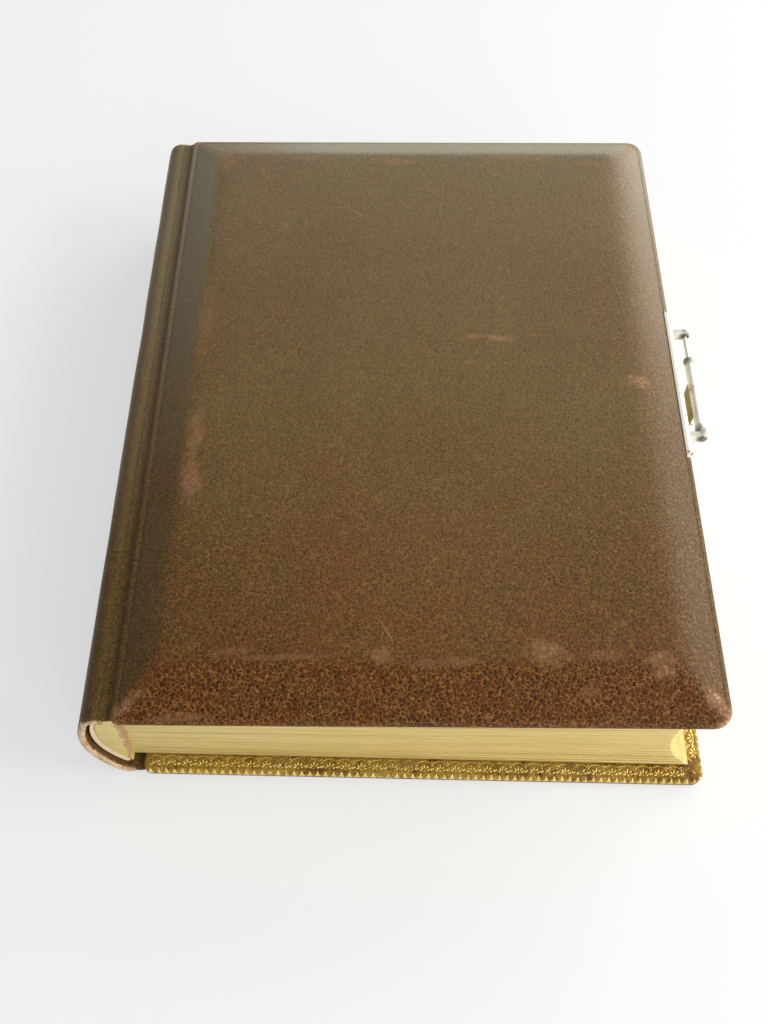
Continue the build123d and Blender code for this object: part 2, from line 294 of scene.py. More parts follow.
def leatherFinish(name, look, marks=(), scratches=(), gilding=False):
    finish, shader, where = newFinish(name)
    soft = where.noise(260.0, 3.0, 0.6)
    shift = where.node("TexNoise", {}, {"Vector": where, "Scale": 520.0, "Detail": 2.0}, "Color")
    drift = where.node("VectorMath", {"operation": "MULTIPLY_ADD"}, {0: shift, 1: (0.0018,) * 3, 2: where})
    pebble = drift.cells(look["grain"], "F1").step(0.66, 0.10)
    tone = drift.cells(look["grain"], "F1", "Color")  # one shade to a pebble
    seam = drift.cells(look["grain"], "DISTANCE_TO_EDGE").step(0.15, 0.01)
    fine = where.noise(1500.0, 3.0, 0.65)
    lines = where.stretch((330.0, 1250.0, 1250.0)).noise(1.0, 3.0, 0.6)  # flattened grain
    fold = where.stretch((170.0, 420.0, 420.0)).noise(1.0, 2.0, 0.5, 1.2)
    wrinkle = where.math("ABSOLUTE", fold - 0.5).step(0.05, 0.0) * soft.step(0.40, 0.60)
    mottle = where.noise(46.0, 5.0, 0.62)
    cloud = where.noise(13.0, 3.0, 0.55)
    speck = where.noise(700.0, 2.0, 0.6)
    grain = where.attribute("grain")  # 1 where the pebbles stand, 0 where they are rubbed flat
    rub = where.attribute("rub")  # edges and ridges that hands wear
    dull = where.attribute("dull")
    # fade: painted sheen, where the leather is drawn paler for light glancing off it
    fade = where.attribute("fade")
    shade = where.attribute("shade")  # painted shade: places drawn darker where less light falls
    colour = (mottle + (soft - 0.5) * 0.8).step(0.34, 0.68).mix(look["brown"], look["red"])
    # olive where dull: partly duller leather, partly painted sheen
    colour = (dull * (0.62 + 0.38 * cloud.step(0.30, 0.66))).mix(colour, look["olive"])
    crease = (1 - seam) * (0.35 + 0.65 * tone.step(0.75, 0.20)) * (0.16 + 0.84 * grain)
    # painted shade from the shade attribute, joined with the dark creases between the pebbles
    dark = shade + crease * (0.40 + 0.25 * grain) * (1 - shade)
    colour = dark.mix(colour, look["deep"])
    colour = ((lines.step(0.52, 0.26) * 0.40 + wrinkle * 0.35) * (1 - 0.7 * grain)).mix(colour, look["deep"])
    colour = (fine.step(0.50, 0.28) * 0.22).mix(colour, look["deep"])
    tan = seam * speck.step(0.36, 0.62) * (0.11 + 0.54 * grain)
    colour = tan.mix(colour, look["seam"])
    # painted sheen
    colour = fade.mix(colour, look["faded"])
    worn = (rub + (mottle - 0.5) * 1.1 + (speck - 0.5) * 0.8).step(0.60, 1.15)
    if marks:
        x = (where.part("X") - hingeX) * (1 / mm)
        y = where.part("Y") * (1 / mm)
        fray = (soft - 0.5) * 3.2 + (speck - 0.5) * 2.2
        spots = strongest(x, y, marks, fray)
        scratched = strongest(x, y, scratches, (speck - 0.5) * 1.6)
        worn = worn | (spots * (0.35 + 0.65 * pebble)) | (scratched * 0.6)
    colour = (worn * 0.85).mix(colour, look["rubbed"])
    raw = worn.step(0.70, 1.05) * (fine + (soft - 0.5) * 0.6).step(0.36, 0.60)
    colour = (raw * 0.75).mix(colour, look["bare"])
    rough = 0.53 + 0.10 * (mottle - 0.5) + 0.14 * worn + 0.08 * crease - 0.05 * dull
    if gilding:
        gilt = where.attribute("gilt") * (mottle + (soft - 0.5)).step(0.22, 0.60)
        colour = (gilt * (0.55 + 0.35 * speck.step(0.35, 0.6))).mix(colour, look["giltHaze"])
    flat = (lines * 0.30 - wrinkle * 0.5) * (1 - grain)
    height = pebble * (0.15 + 0.85 * grain) + fine * 0.22 + flat - worn * 0.18
    dress(shader, Base_Color=colour, Roughness=rough, Normal=height.bump(0.50, 0.00034),
          Specular_IOR_Level=0.17)
    return finish


spineLook = {
    **leatherLook, "brown": (0.106, 0.058, 0.011), "red": (0.120, 0.053, 0.009),
    "faded": (0.335, 0.275, 0.165), "rubbed": (0.42, 0.25, 0.13), "bare": (0.90, 0.71, 0.45),
}
# joint leather: a darker copy of the spine's, partly painted shade of the grooves it lies in and partly dirt
jointLook = {
    **leatherLook, "brown": (0.098, 0.054, 0.012), "red": (0.110, 0.050, 0.009),
    "olive": (0.125, 0.086, 0.029), "faded": (0.300, 0.245, 0.150), "rubbed": (0.20, 0.11, 0.05),
}
boardLook = {**leatherLook, "giltHaze": (0.470, 0.300, 0.046)}
coverLeather = leatherFinish("wornCoverLeather", leatherLook, coverMarks, coverScratches)
spineLeather = leatherFinish("spineLeather", spineLook)
jointLeather = leatherFinish("jointLeather", jointLook)
boardLeather = leatherFinish("boardLeather", boardLook, gilding=True)
print("leather mixed")


# front cover: rings carried in from the edge of the board. They cross the underside, go round the soft rim,
# climb the bevel in step with each side's width and close on the middle of the panel.

coverShape = {
    "start": 1.5, "end": 222.5, "half": 152.0,  # spine edge, fore-edge and half length from the hinge line
    "rim": 5.2, "round": 2.3, "rise": 7.5,
    "spineCorner": 3.0, "foreCorner": 7.0, "panelCorner": 4.0,
    "bevel": (15.5, 17.0, 20.5, 17.0),  # spine, fore-edge, tail, head
    "ridgeSoft": 2.2,  # how far the ridge is rounded over
    "creaseAt": 0.075, "creaseWide": 0.030, "creaseDeep": 0.34,  # line pressed along the foot of the bevel
    "wave": 0.34, "sag": 0.30,
    "notch": (220.5, 2.0, 39.3),  # seat of the clasp plate: depth, middle and half length
    "sides": (104, 160, 104, 160), "arcs": 10,
}


# draws the edge of a board back to a flat seat for a metal plate: the two columns nearest each end of the
# seat move to it, and the columns between them move in to its depth
def cutSeat(x, y, rows, shape):
    seat, middle, reach = shape["notch"]
    begin = 2 * shape["arcs"] + shape["sides"][0]
    fore = slice(begin, begin + shape["sides"][1])
    column = y[(rows.start + rows.stop) // 2, fore].copy()
    for side in (-1, 1):
        first = np.abs(column - middle - side * reach).argsort()[:2]
        inner, outer = sorted(first, key=lambda k: abs(column[k] - middle))
        y[rows, begin + inner] = middle + side * (reach - 0.02)
        y[rows, begin + outer] = middle + side * (reach + 0.02)
    cut = (np.abs(y[rows, fore] - middle) < reach) & (x[rows, fore] > seat)
    x[rows, fore] = np.where(cut, seat, x[rows, fore])


# share of each side of the board at every point, from 0 to 1 across the mitres: a logistic curve of how much
# nearer that side is than the others. Sides in order: spine, fore-edge, tail, head
def boardSides(x, y, shape):
    inward = [x - shape["start"], shape["end"] - x, y + shape["half"], shape["half"] - y]
    reach = np.stack(inward, -1) / np.array(shape["bevel"])
    masks = []
    for k in range(4):
        others = np.delete(reach, k, -1).min(-1)
        masks.append(1 / (1 + np.exp(np.clip((reach[..., k] - others) * 10, -40, 40))))
    return masks


def frontCover(shape):
    rim, soft = shape["rim"], shape["round"]
    under = np.array([(shape["end"] - shape["start"]) / 2, 100, 80, 60, 40, 26, 18, 12, 8, 5, 3.2])
    turn = np.radians(np.linspace(-90, 0, 8))
    climb = np.array([0.012, 0.028, 0.045, 0.060, 0.075, 0.090, 0.105, 0.125, 0.16, 0.22, 0.30,
                      0.39, 0.48, 0.57, 0.65, 0.72, 0.78, 0.84, 0.89, 0.93, 0.965, 1.0])
    bevel = np.array(shape["bevel"])
    closed = (shape["end"] - shape["start"] - bevel[0] - bevel[1]) / 2
    inward = np.array([0.8, 1.6, 2.5, 3.6, 5.0, 7.0, 10, 14, 19, 25,
                       32, 40, 48, 56, 64, 72, 79, 85, 90, closed])
    # four insets for every ring: spine, fore-edge, tail, head
    even = np.concatenate([under, soft * (1 - np.cos(turn)), soft * (1 - np.cos(turn[::-1]))])
    insets = np.concatenate([np.repeat(even[:, None], 4, 1), soft + climb[:, None] * (bevel - soft),
                             bevel + inward[:, None]])
    slope = np.concatenate([climb, 1 + inward / (bevel[2] - soft)])
    flat = shape["rise"]
    top = 0.5 * (flat * slope + flat - np.sqrt((flat * (slope - 1)) ** 2 + shape["ridgeSoft"] ** 2))
    top -= top[0] * ramp(slope, 1, 0)
    height = np.concatenate([np.full(len(under), -rim), soft - rim + soft * np.sin(turn),
                             -soft - soft * np.sin(turn[::-1]), top])
    low = np.stack([shape["start"] + insets[:, 0], insets[:, 2] - shape["half"]], -1)
    high = np.stack([shape["end"] - insets[:, 1], shape["half"] - insets[:, 3]], -1)
    room = (high - low).min(1) / 2
    share = np.concatenate([np.zeros(len(even)), climb, np.ones(len(inward))])
    radii = []
    for corner in (shape["spineCorner"], shape["foreCorner"]):
        at = corner + share * (shape["panelCorner"] - corner)
        at = np.where(share > 0, at, np.maximum(corner - insets[:, 0], 0.8))
        at[-len(inward):] = np.maximum(shape["panelCorner"] - 0.25 * inward, 0.02)
        radii.append(np.minimum(at, room))
    plan = roundedRings(low, high, radii[0], radii[1], shape["sides"], shape["arcs"])
    z = np.repeat(height[:, None], plan.shape[1], 1)
    x, y = plan[..., 0], plan[..., 1]
    spineSide, foreSide, tailSide, headSide = boardSides(x, y, shape)
    pressed = bell(slope - shape["creaseAt"], shape["creaseWide"])[:, None]
    z[len(even):] -= shape["creaseDeep"] * pressed * spineSide[len(even):]
    lift = np.concatenate([np.zeros(len(even)), np.clip(slope, 0, 1)])[:, None]
    z = z + lift * (shape["wave"] * (unevenness(x, y, 5, 90.0) - 0.35))
    hollow = ramp(slope, 1, 4)  # the middle of the panel lies a little lower
    z[len(even):] -= shape["sag"] * (hollow ** 2 * (3 - 2 * hollow))[:, None]
    # the rim is cut back to a flat seat where the clasp plate lies
    rows = slice(len(under) - 2, len(even) + 4)
    cutSeat(x, y, rows, shape)
    points = onFrontCover(np.stack([x, y, z], -1) * mm)
    # wear: strongest on the fore corners, then the rim and the ridge round the panel
    ridge = np.concatenate([np.zeros(len(even)), bell(slope - 1.02, 0.13)])[:, None]
    around = 0.25 + 0.5 * np.sin(np.linspace(0, math.pi, 2 * len(turn))) ** 2
    foot = 0.3 * np.exp(-climb / 0.05)
    edge = np.concatenate([np.zeros(len(under)), around, foot, np.zeros(len(inward))])[:, None]
    farRidge = ridge * (0.18 + 0.26 * (y > 126) + 0.20 * (x < 24) + 0.06 * (y < -123))
    corner = bell(x - shape["end"], 9) * bell(np.abs(y) - shape["half"], 9)
    spineEnd = bell(x - shape["start"], 6) * bell(np.abs(y) - shape["half"], 6)
    rub = np.clip(farRidge + edge * 0.62 + corner * 0.75 + spineEnd * 0.5, 0, 1.1)
    panel = np.concatenate([np.zeros(len(even)), ramp(slope, 0.86, 1.11)])[:, None]
    near = 1 / (1 + np.exp((y + 62) / 26.0))
    slant = 1 - panel
    grain = 1 - panel * (0.62 - 0.25 * near) - 0.45 * slant * (1 - tailSide)
    away = ramp(y, -30, 150)
    rimBand = 1 / (1 + np.exp((212.0 - x) / 2.2))
    sideDull = 0.9 * spineSide + 0.8 * headSide + 0.6 * foreSide
    # dull: olive, partly duller leather and partly painted sheen, on the panel away from the tail and on the
    # bevels other than the tail's
    dull = np.clip(panel * (1 - 0.62 * near) + slant * sideDull, 0, 1)
    # fade: painted sheen, drawn paler where light glances off: a little over the far panel, the fore-edge rim
    # towards the head, the head bevel away from the spine and the spine bevel towards the head
    fade = 0.07 * (1 - near) + 0.16 * away ** 2 + foreSide * rimBand * (0.04 + 0.42 * away)
    fade += slant * 0.62 * headSide * ramp(x, 10, 70)
    fade += slant * 0.48 * spineSide * ramp(y, -50, 130)
    # shade: painted shade, drawn darker where less light falls: the tail bevel, the spine and fore-edge
    # bevels towards the tail, and the near corners of the panel
    shade = slant * (0.14 * tailSide + 0.25 * spineSide * ramp(y, -20, -120))
    shade += slant * 0.34 * foreSide * ramp(y, 70, -50)
    shade += panel * near * (0.24 * ramp(x, 90, 40) + 0.22 * ramp(x, 140, 190))
    fade = np.clip(fade * (np.arange(len(z)) >= len(even) - 4)[:, None], 0, 0.8)
    piece = newPiece("frontCover", points, ringFaces(*x.shape), coverLeather,
                     {"grain": grain, "rub": rub, "dull": dull, "fade": fade, "shade": shade})
    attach(piece, "front_board")
    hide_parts("front_cover")


frontCover(coverShape)


# back cover: rings of a flat board, from the middle of its underside over the soft edge to that of its top

backShape = {
    "start": 1.5, "end": 222.5, "half": 152.0, "thick": 5.5, "round": 1.5,
    "spineCorner": 3.0, "foreCorner": 4.5,
    "notch": (221.5, -3.8, 13.3),  # seat of the catch plate: depth, middle and half length
    "sides": (80, 150, 80, 150), "arcs": 8,
}


def backCover(shape):
    soft, thick = shape["round"], shape["thick"]
    face = np.array([(shape["end"] - shape["start"]) / 2, 80, 50, 26, 14, 10, 7, 5, 3.4, 2.2])
    turn = np.radians(np.linspace(-90, 0, 7))
    bend = soft * (1 - np.cos(turn))
    inset = np.concatenate([face, bend, np.zeros(5), bend[::-1], face[::-1]])
    side = np.linspace(soft, thick - soft, 7)[1:-1]
    height = np.concatenate([np.zeros(len(face)), soft + soft * np.sin(turn), side,
                             thick - soft - soft * np.sin(turn[::-1]), np.full(len(face), thick)])
    low = np.stack([shape["start"] + inset, inset - shape["half"]], -1)
    high = np.stack([shape["end"] - inset, shape["half"] - inset], -1)
    radii = [np.minimum(np.maximum(corner - inset, 0.5), (high - low).min(1) / 2)
             for corner in (shape["spineCorner"], shape["foreCorner"])]
    plan = roundedRings(low, high, radii[0], radii[1], shape["sides"], shape["arcs"])
    x, y = plan[..., 0], plan[..., 1]
    cutSeat(x, y, slice(len(face) - 1, len(inset) - len(face) + 1), shape)
    z = np.repeat(height[:, None], plan.shape[1], 1)
    points = np.stack([backX + x * mm, y * mm, z * mm], -1)
    edge = ((inset < 2.0) * 0.30)[:, None]
    corner = bell(x - shape["end"], 7) * bell(np.abs(y) - shape["half"], 7)
    rub = np.clip(edge + 0.6 * corner, 0, 1)
    margin = (ramp(inset, 13.5, 12.0) * ramp(height, soft + 0.4, soft + 1.0))[:, None]
    piece = newPiece("backCover", points, ringFaces(*x.shape), boardLeather,
                     {"grain": 0.7, "rub": rub, "dull": 0.3, "gilt": margin})
    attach(piece, "back_board")
    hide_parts("back_cover")


backCover(backShape)


# spine: a flat band with round edges, carried along its section from front joint to back joint: flat, soft
# shoulder, long arc, soft shoulder, flat. Its thickness closes at both ends like half an ellipse.

spineShape = {
    "radius": 46.0, "centre": (33.4, 33.0), "top": 53.2, "bottom": 3.2, "shoulder": 6.0,
    "from": -0.6, "to": 3.6,  # ends of the two flats from the front hinge line
    "thick": 2.8, "flap": 1.2, "half": 152.0,
    "endSoft": 1.6, "along": 96, "wave": 0.30,
}


# points round the edge of a flat band: along its outer side, round the head, back along the inner side,
# round the tail; across the band they run from 1 outside to -1 inside
def bandLoop(half, thick, along, ends):
    straight = np.linspace(-1, 1, along) * (half - thick / 2)
    turn = np.linspace(0, math.pi, ends + 2)[1:-1]
    y = np.concatenate([straight, half - thick / 2 + np.sin(turn) * thick / 2, straight[::-1],
                        thick / 2 - half - np.sin(turn) * thick / 2])
    n = np.concatenate([np.ones(along), np.cos(turn), -np.ones(along), -np.cos(turn)])
    return y, n


# outline of the section, its outward directions, its thickness and the angles of those directions
def spineSection(shape):
    r, big, (middleX, middleZ) = shape["shoulder"], shape["radius"], shape["centre"]
    rounds = []
    for level, sign in ((shape["top"], 1), (shape["bottom"], -1)):
        z = level - sign * r
        rounds.append((middleX - math.sqrt((big - r) ** 2 - (z - middleZ) ** 2), z))
    (highX, highZ), (lowX, lowZ) = rounds
    first = math.atan2(highZ - middleZ, highX - middleX)
    last = math.atan2(lowZ - middleZ, lowX - middleX) + 2 * math.pi
    up, down = math.pi / 2, 1.5 * math.pi
    counts = (11, 11, 44, 11, 11)  # points on flat, shoulder, long arc, shoulder, flat
    angle = np.concatenate([np.full(11, up), np.linspace(up, first, 12)[:-1], np.linspace(first, last, 44),
                            np.linspace(last, down, 12)[1:], np.full(11, down)])
    x = np.repeat((0.0, highX, middleX, lowX, 0.0), counts)
    x[:11] = np.linspace(shape["from"], highX, 12)[:-1]
    x[-11:] = np.linspace(lowX, shape["to"], 12)[1:]
    z = np.repeat((highZ, highZ, middleZ, lowZ, lowZ), counts)
    reach = np.repeat((r, r, big, r, r), counts)
    away = np.stack([np.cos(angle), np.sin(angle)], -1)
    line = np.stack([x, z], -1) + reach[:, None] * away
    turn = np.repeat((0.0, 0.0, 1.0, 0.0, 0.0), counts)
    turn[11:22] = np.linspace(0, 1, 11)
    turn[-22:-11] = np.linspace(1, 0, 11)
    thick = shape["flap"] + (shape["thick"] - shape["flap"]) * turn
    return line, away, thick, angle


# painted sheen: the spine is drawn paler and paler towards its head, where light glances off it
def spineSheen(y):
    return 0.52 * ramp(y, -90, 100)


def spineBand(shape):
    y, n = bandLoop(shape["half"], shape["thick"], shape["along"], 10)
    line, away, thick, angle = spineSection(shape)
    run = np.append(0, np.cumsum(np.linalg.norm(np.diff(line, axis=0), axis=1)))
    close = ramp(np.minimum(run, run[-1] - run), shape["endSoft"], 0)
    full = np.sqrt(1 - close ** 2)[:, None]
    waves = shape["wave"] * unevenness(y[None], run[:, None], 9, 34.0)
    fade = ramp(shape["half"] - np.abs(y), 0, 6) * (full > 0.98)
    inward = thick[:, None] / 2 * (1 - n[None] * full) + np.abs(waves) * fade
    x = line[:, :1] - away[:, :1] * inward
    z = line[:, 1:] - away[:, 1:] * inward
    points = fromHinge(x, y, z)
    end = bell(shape["half"] - np.abs(y), 1.7)
    streak = 0.34 * bell(angle - math.radians(150), 0.30)[:, None]
    rub = np.clip(end[None] * 1.35 + streak, 0, 1.4)
    dull = np.clip(0.75 - 0.9 * streak, 0, 1)
    # painted shade: the spine drawn darker towards its tail end
    dark = 0.24 * ramp(y, -40, -130)
    piece = newPiece("spineLeather", points, ringFaces(*x.shape), spineLeather,
                     {"grain": 0.40, "rub": rub, "dull": dull, "fade": spineSheen(y), "shade": dark})
    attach(piece, "leaf_block")
    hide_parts("spine")


spineBand(spineShape)


# leather joints: flat bands that cross each hinge line. The front one curls up from the spine to the board's
# edge, the back one dips between the board and the spine. bend: where its turn starts and ends

frontJoint = {
    "from": (-2.6, 52.72), "to": (3.4, 54.5), "curl": 2.5, "dip": 0.0,
    "half": 151.0, "thick": 1.0, "bend": (-0.9, 1.4),
}
backJoint = {
    "from": (7.7, 3.6), "to": (2.6, 3.6), "curl": 1.0, "dip": 0.9,
    "half": 151.2, "thick": 1.0, "bend": (7.0, 3.8),
}


def leatherJoint(name, shape):
    y, n = bandLoop(shape["half"], shape["thick"], 90, 6)
    share = np.linspace(0, 1, 22)
    full = np.sqrt(1 - ramp(np.minimum(share, 1 - share), 0.08, 0) ** 2)
    x = shape["from"][0] + share * (shape["to"][0] - shape["from"][0])
    climb = share ** shape["curl"] * (shape["to"][1] - shape["from"][1])
    z = shape["from"][1] + climb - shape["dip"] * np.sin(share * math.pi)
    z = z[:, None] + n[None] * full[:, None] * shape["thick"] / 2
    points = fromHinge(x[:, None], y, z)
    end = bell(shape["half"] - np.abs(y), 1.5)
    # painted sheen: the joint is drawn paler towards its head, like the spine
    piece = newPiece(name, points, ringFaces(*z.shape), jointLeather,
                     {"grain": 0.4, "rub": end * 0.6, "dull": 0.75, "fade": spineSheen(y)})
    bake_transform(piece)


leatherJoint("frontLeatherJoint", frontJoint)
leatherJoint("backLeatherJoint", backJoint)


# leaves: rings of the block's outline, stacked from the back cover to the front cover. Each leaf's edge is
# drawn in a little between its neighbours, the back follows the spine's round and the fore-edge a hollow arc.

leafShape = {
    "count": 24, "bottom": 5.9, "lid": 49.895,  # lid: top of the leaves on the front hinge line
    "half": 145.5, "backCentre": (33.4, 33.0), "backRadius": 40.5,
    "foreLow": (222.4, 5.9), "foreHigh": (217.0, 59.37), "hollow": 10.5,
    "sewnEdge": 2.6, "sewnHalf": 148.4,  # sewn back: how far in it reaches, and its half length
    "gap": 0.55, "uneven": 0.16, "wander": 0.16, "pageHalf": 58.5, "pageMiddle": 105.0,
    "sides": (84, 84, 84, 84), "arcs": 4,
}
leafLook = {
    "gold": (0.660, 0.490, 0.135), "pale": (0.770, 0.630, 0.270), "dark": (0.380, 0.245, 0.060),
    "paper": (0.720, 0.610, 0.370), "page": (0.660, 0.580, 0.440), "guard": (0.400, 0.235, 0.150),
    "fox": (0.50, 0.38, 0.24),
}


def leafFinish(look):
    finish, shader, where = newFinish("giltLeafEdges")
    sheet = where.node("UVMap", {"uv_map": "leaf"}, {})
    band = sheet.stretch((9.0, 1.6, 0.0)).noise(1.0, 3.0, 0.6)  # leaf to leaf
    streak = sheet.stretch((26.0, 9.0, 0.0)).noise(1.0, 3.0, 0.65)  # along the cut edges
    patch = where.noise(60.0, 4.0, 0.6)
    gap = where.attribute("gap")
    page = where.attribute("page")
    guard = where.attribute("guard")
    colour = (band + (streak - 0.5) * 0.8).step(0.30, 0.70).mix(look["gold"], look["pale"])
    colour = ((streak + (patch - 0.5) * 0.5).step(0.60, 0.78) * 0.55).mix(colour, look["paper"])
    colour = ((streak + (band - 0.5) * 0.6).step(0.44, 0.28) * 0.45).mix(colour, look["dark"])
    # painted shade in the gaps between leaves
    colour = (gap * 0.72).mix(colour, look["dark"])
    torn = (guard + (where.noise(420.0, 3.0, 0.7) - 0.5) * 0.9).step(0.45, 0.65)
    colour = (torn * 0.8).mix(colour, look["guard"])
    fox = where.noise(28.0, 5.0, 0.6).step(0.62, 0.80)
    colour = page.mix(colour, (fox * 0.25).mix(look["page"], look["fox"]))
    metal = (1 - page) * (1 - torn) * (1 - gap * 0.6) * 0.42
    rough = 0.40 + 0.18 * (streak - 0.5) + 0.35 * page + 0.25 * torn
    height = streak * 0.6 + sheet.stretch((60.0, 30.0, 0.0)).noise(1.0, 2.0) * 0.4
    dress(shader, Base_Color=colour, Roughness=rough, Metallic=metal, Normal=height.bump(0.35, 0.00025))
    return finish


# circle through two points that bulges by rise towards the spine: radius and centre
def arcBetween(low, high, rise):
    across, up = low[0] - high[0], high[1] - low[1]
    chord = math.hypot(across, up) / 2
    radius = (chord ** 2 + rise ** 2) / (2 * rise)
    inward = (radius - rise) / (2 * chord)
    return radius, (low[0] + high[0]) / 2 + inward * up, (low[1] + high[1]) / 2 + inward * across


def leaves(shape, finish):
    count = shape["count"]
    random = np.random.default_rng(21)
    within = np.array([0.0, 0.045, 0.12, 0.26, 0.42, 0.60, 0.76, 0.88, 0.955])
    drawn = np.array([1.0, 0.42, 0.14, 0.02, 0.0, 0.0, 0.05, 0.18, 0.46])
    level = np.append((np.arange(count)[:, None] + within).ravel(), count) / count
    inset = np.append(np.tile(drawn, count), 1.0) * shape["gap"]
    leafOf = np.minimum((level * count).astype(int), count - 1)
    ends = np.zeros((3, len(level)))
    for k in range(3):
        ends[k] = inset + np.abs(random.normal(0, shape["uneven"], count))[leafOf]

    def climbAt(x):
        return shape["bottom"] + level * (shape["lid"] + x * lean - shape["bottom"])

    radius, middleX, middleZ = arcBetween(shape["foreLow"], shape["foreHigh"], shape["hollow"])
    foreX = np.full(len(level), 215.0)
    backEnd = np.full(len(level), 0.0)
    for settle in range(12):
        foreX = middleX - np.sqrt(np.maximum(radius ** 2 - (climbAt(foreX) - middleZ) ** 2, 0))
        rise = climbAt(backEnd) - shape["backCentre"][1]
        backEnd = shape["backCentre"][0] - np.sqrt(np.maximum(shape["backRadius"] ** 2 - rise ** 2, 0))
    low = np.stack([backEnd, -shape["half"] + ends[0]], -1)
    high = np.stack([foreX - ends[1], shape["half"] - ends[2]], -1)
    corner = np.full(len(level), 0.5)
    plan = roundedRings(low, high, corner, corner, shape["sides"], shape["arcs"])
    x, y = plan[..., 0], plan[..., 1]
    climb = level[:, None]
    # leaf edges wander a little along their length
    wander = unevenness(x + y * 0.7, leafOf[:, None] * 37.0, 3, 60.0)
    inner = np.abs(climb - 0.5) < 0.5 - 0.5 / count
    z = shape["bottom"] + climb * (shape["lid"] + x * lean - shape["bottom"])
    z = z + shape["wander"] * wander * inner
    # flat faces of the first and the last leaf, drawn in to the middle
    middle = shape["pageMiddle"]
    rings = []
    for share in (0.06, 0.35, 0.7, 1.0):
        limit = shape["half"] + share * (shape["pageHalf"] - shape["half"])
        rings.append((middle + (x - middle) * (1 - share), np.clip(y, -limit, limit)))
    stackX = np.vstack([r[0][:1] for r in rings[::-1]] + [x] + [r[0][-1:] for r in rings])
    stackY = np.vstack([r[1][:1] for r in rings[::-1]] + [y] + [r[1][-1:] for r in rings])
    bottomZ = np.full((len(rings), x.shape[1]), shape["bottom"])
    topZ = shape["lid"] + stackX[-len(rings):] * lean
    stackZ = np.vstack([bottomZ, z, topZ])
    points = fromHinge(stackX, stackY, stackZ)
    # gap: painted shade, strongest where each leaf's edge is drawn in between its neighbours, and a line
    # along the first and the last leaf
    between = np.repeat((inset / shape["gap"])[:, None], x.shape[1], 1)
    gap = np.vstack([np.zeros(bottomZ.shape), between, np.zeros(topZ.shape)])
    gap[len(rings)] = 0.4
    gap[-len(rings) - 1] = 0.4
    page = np.zeros(gap.shape)
    page[:len(rings)] = 1
    page[-len(rings):] = 1
    # a darker band beside the step of the sewn back, on the tail and head faces, in the colour of the torn
    # guards
    step = bell(stackX - shape["sewnEdge"], 1.2) * 0.55 * (np.abs(stackY) > shape["half"] - 1.5)
    piece = newPiece("leafBlock", points, ringFaces(*gap.shape), finish,
                     {"gap": gap, "page": page, "guard": step})
    leafMap(piece, shape)
    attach(piece, "leaf_block")
    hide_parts("page_block")


# leaf map: metres along the edge across, set off by 0.6 on the fore-edge, and leaf number up
def leafMap(piece, shape):
    mesh = piece.data
    corners = np.zeros(len(mesh.loops), int)
    mesh.loops.foreach_get("vertex_index", corners)
    places = np.zeros(len(mesh.vertices) * 3)
    mesh.vertices.foreach_get("co", places)
    places = places.reshape(-1, 3) / mm
    x = places[:, 0] - hingeX / mm
    across = np.where(np.abs(places[:, 1]) > shape["half"] - 1.5, x, places[:, 1] + 600.0)
    upward = (places[:, 2] - shape["bottom"]) / (shape["lid"] + x * lean - shape["bottom"]) * shape["count"]
    sheet = mesh.uv_layers.new(name="leaf")
    sheet.data.foreach_set("uv", np.stack([across * mm, upward], -1)[corners].ravel())


# rows of a stack, with its first and last row drawn in to their middles to close it
def capped(rows):
    first, last = (np.full(rows[:1].shape, row.mean()) for row in (rows[0], rows[-1]))
    return np.vstack([first, rows, last])


# sewn back: at tail and head it stands out past the leaves. Each end is a stack of rings between the round
# of the back and a torn edge, whose steps come from two lots of random numbers, coarse and fine.
def sewnBack(shape, finish):
    random = np.random.default_rng(14)
    level = np.linspace(0.01, 0.99, 72)
    z = shape["bottom"] + level * (shape["lid"] - shape["bottom"])
    centreX, centreZ = shape["backCentre"]
    left = centreX - np.sqrt(shape["backRadius"] ** 2 - (z - centreZ) ** 2) + 0.15
    points, faces, torn = [], [], []
    for side in (-1, 1):
        coarse = np.interp(level, np.linspace(0, 1, 15), random.uniform(-1.5, 1.1, 15))
        fine = random.uniform(-0.3, 0.3, len(level))
        right = shape["sewnEdge"] - 1.9 * (0.5 - level).clip(0) + coarse + fine
        tip = shape["sewnHalf"] + random.uniform(-0.22, 0.05, len(level))
        root = np.full(len(level), shape["half"] - 0.6)
        share = np.array([0, 0, 0.03, 0.2, 0.4, 0.6, 0.8, 0.95, 1, 1])[:, None]
        x = left + share * (right - left)
        y = np.stack([root, tip - 0.4, tip, tip, tip, tip, tip - 0.1, tip - 0.35, tip - 0.9, root])
        height = np.repeat(z[:, None], len(share), 1)
        x, y, height = capped(x.T), capped(y.T), capped(height)
        mark = np.broadcast_to(np.array([0, 0, 0, 0, 0, 0.05, 0.25, 0.8, 1.0, 1.0]), x.shape)
        faces.append(ringFaces(*x.shape) + len(points) * x.size)
        points.append(fromHinge(x, side * y, height).reshape(-1, 3))
        torn.append(mark.ravel())
    piece = newPiece("sewnBack", np.concatenate(points), np.concatenate(faces), finish,
                     {"gap": 0.0, "page": 0.0, "guard": np.concatenate(torn)})
    leafMap(piece, shape)
    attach(piece, "leaf_block")


leafEdges = leafFinish(leafLook)
leaves(leafShape, leafEdges)
sewnBack(leafShape, leafEdges)


# gilt tooling: small flat motifs repeated along the margin of each cover. A motif is drawn flat, in
# millimetres along and across the margin, and laid over the edge of the board: up its side, round the soft
# edge and along its face.

